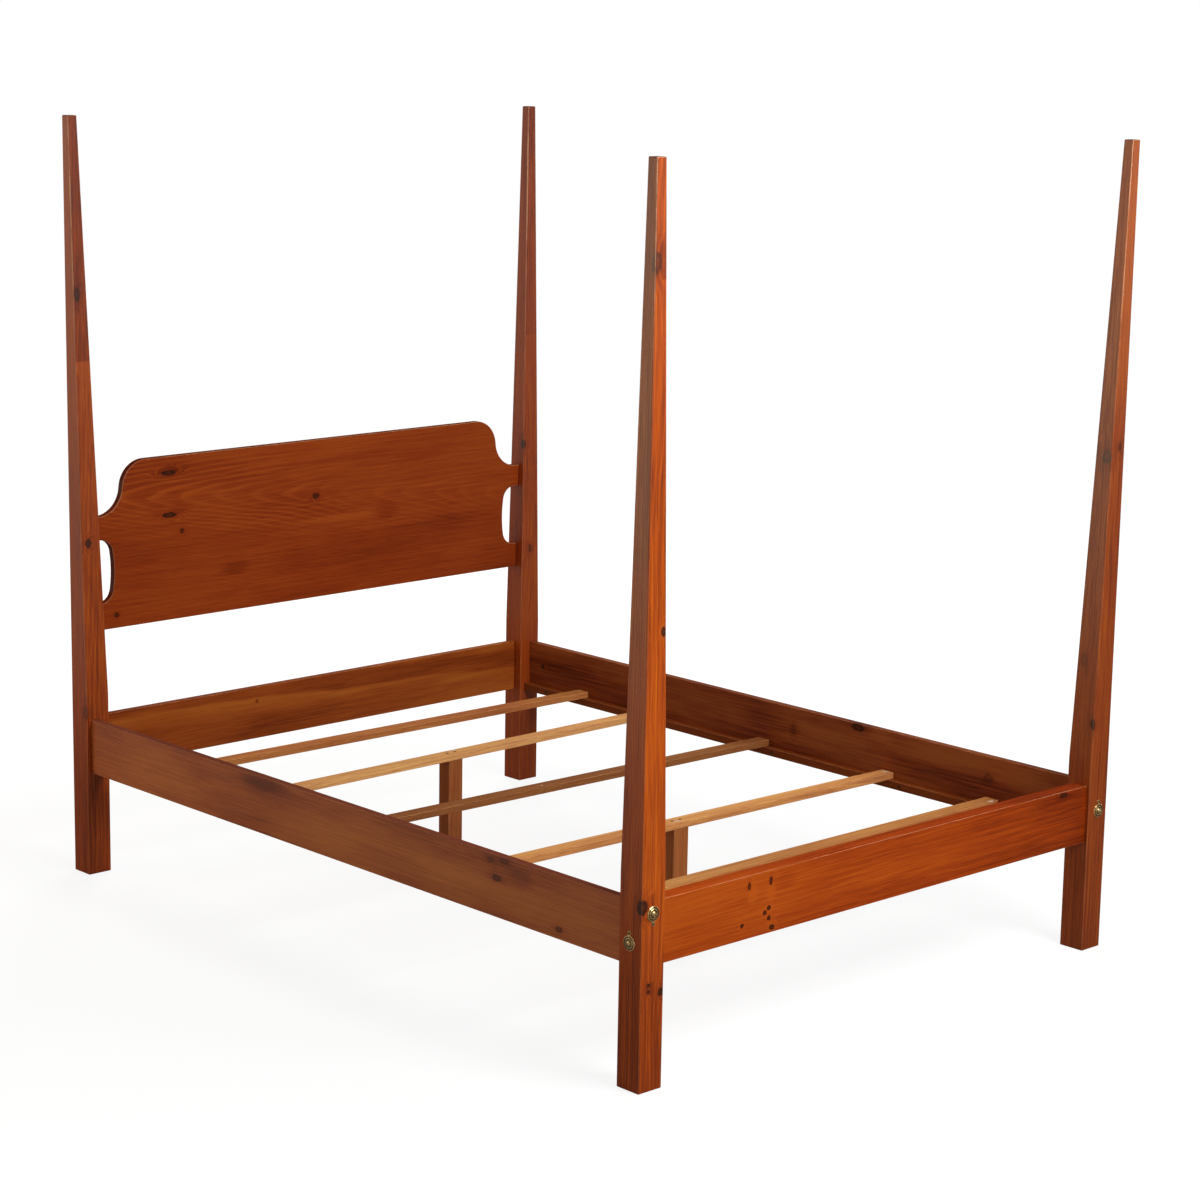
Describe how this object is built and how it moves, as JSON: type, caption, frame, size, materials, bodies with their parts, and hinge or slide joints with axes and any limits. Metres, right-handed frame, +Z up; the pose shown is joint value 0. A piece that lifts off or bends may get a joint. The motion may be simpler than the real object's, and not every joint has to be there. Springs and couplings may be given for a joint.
{
  "type": "pencil post bed frame",
  "caption": "Wooden full-size bed frame: tall tapered corner posts, shaped headboard, bolted rails, loose slats on cleats with centre legs, and swivelling brass bolt covers.",
  "frame": {"origin": "on the floor, midway between the four posts", "axes": "+Z up, +Y from the foot end to the head end, +X to the right as seen from the foot end"},
  "size_m": [1.4754, 2.0044, 1.829],
  "materials": {
    "post_wood": "red-brown stain under a satin lacquer",
    "board_wood": "red-brown stain under a satin lacquer",
    "rail_wood": "red-brown stain under a satin lacquer",
    "cleat_wood": "red-brown stain, thin lacquer",
    "light_slat_wood": "golden, thin lacquer",
    "dark_slat_wood": "brown, thin lacquer",
    "leg_wood": "brown, thin lacquer",
    "aged_brass": "aged, half polished",
    "bolt_steel": "plain",
    "screw_steel": "plain"
  },
  "bodies": {
    "frame": {"post_foot_left": "post_wood", "post_foot_right": "post_wood", "post_head_left": "post_wood", "post_head_right": "post_wood", "headboard": "board_wood", "foot_rail": "rail_wood", "head_rail": "rail_wood", "side_rail_left": "rail_wood", "side_rail_right": "rail_wood", "slat_cleat_left": "cleat_wood", "slat_cleat_right": "cleat_wood", "cleat_screws": "screw_steel", "bed_bolts": "bolt_steel", "barrel_nuts": "bolt_steel", "cover_pins": "aged_brass"},
    "cover_foot_left_end": {"bolt_cover_foot_left_end": "aged_brass"},
    "cover_foot_right_end": {"bolt_cover_foot_right_end": "aged_brass"},
    "cover_head_left_end": {"bolt_cover_head_left_end": "aged_brass"},
    "cover_head_right_end": {"bolt_cover_head_right_end": "aged_brass"},
    "cover_foot_left_side": {"bolt_cover_foot_left_side": "aged_brass"},
    "cover_foot_right_side": {"bolt_cover_foot_right_side": "aged_brass"},
    "slat_body_1": {"slat_1": "light_slat_wood"},
    "slat_body_2": {"slat_2": "light_slat_wood", "centre_leg_2": "leg_wood", "leg_screws_2": "screw_steel"},
    "slat_body_3": {"slat_3": "dark_slat_wood"},
    "slat_body_4": {"slat_4": "light_slat_wood", "centre_leg_4": "leg_wood", "leg_screws_4": "screw_steel"},
    "slat_body_5": {"slat_5": "dark_slat_wood"}
  },
  "joints": [
    {"name": "foot_left_end_cover_swivel", "type": "hinge", "parent": "frame", "child": "cover_foot_left_end", "pos_m": [-0.702, -0.9965, 0.34536], "axis": [0, -1, 0], "continuous": true},
    {"name": "foot_right_end_cover_swivel", "type": "hinge", "parent": "frame", "child": "cover_foot_right_end", "pos_m": [0.702, -0.9965, 0.34658], "axis": [0, -1, 0], "continuous": true},
    {"name": "head_left_end_cover_swivel", "type": "hinge", "parent": "frame", "child": "cover_head_left_end", "pos_m": [-0.702, 0.9965, 0.34658], "axis": [0, 1, 0], "continuous": true},
    {"name": "head_right_end_cover_swivel", "type": "hinge", "parent": "frame", "child": "cover_head_right_end", "pos_m": [0.702, 0.9965, 0.34658], "axis": [0, 1, 0], "continuous": true},
    {"name": "foot_left_side_cover_swivel", "type": "hinge", "parent": "frame", "child": "cover_foot_left_side", "pos_m": [-0.732, -0.9635, 0.32463], "axis": [-1, 0, 0], "range_deg": [-220, 40]},
    {"name": "foot_right_side_cover_swivel", "type": "hinge", "parent": "frame", "child": "cover_foot_right_side", "pos_m": [0.732, -0.9635, 0.32463], "axis": [1, 0, 0], "range_deg": [-40, 220]},
    {"name": "slat_1_lift", "type": "slide", "parent": "frame", "child": "slat_body_1", "axis": [0, 0, 1], "range_m": [0, 0.13]},
    {"name": "slat_2_lift", "type": "slide", "parent": "frame", "child": "slat_body_2", "axis": [0, 0, 1], "range_m": [0, 0.13]},
    {"name": "slat_3_lift", "type": "slide", "parent": "frame", "child": "slat_body_3", "axis": [0, 0, 1], "range_m": [0, 0.13]},
    {"name": "slat_4_lift", "type": "slide", "parent": "frame", "child": "slat_body_4", "axis": [0, 0, 1], "range_m": [0, 0.13]},
    {"name": "slat_5_lift", "type": "slide", "parent": "frame", "child": "slat_body_5", "axis": [0, 0, 1], "range_m": [0, 0.13]}
  ]
}
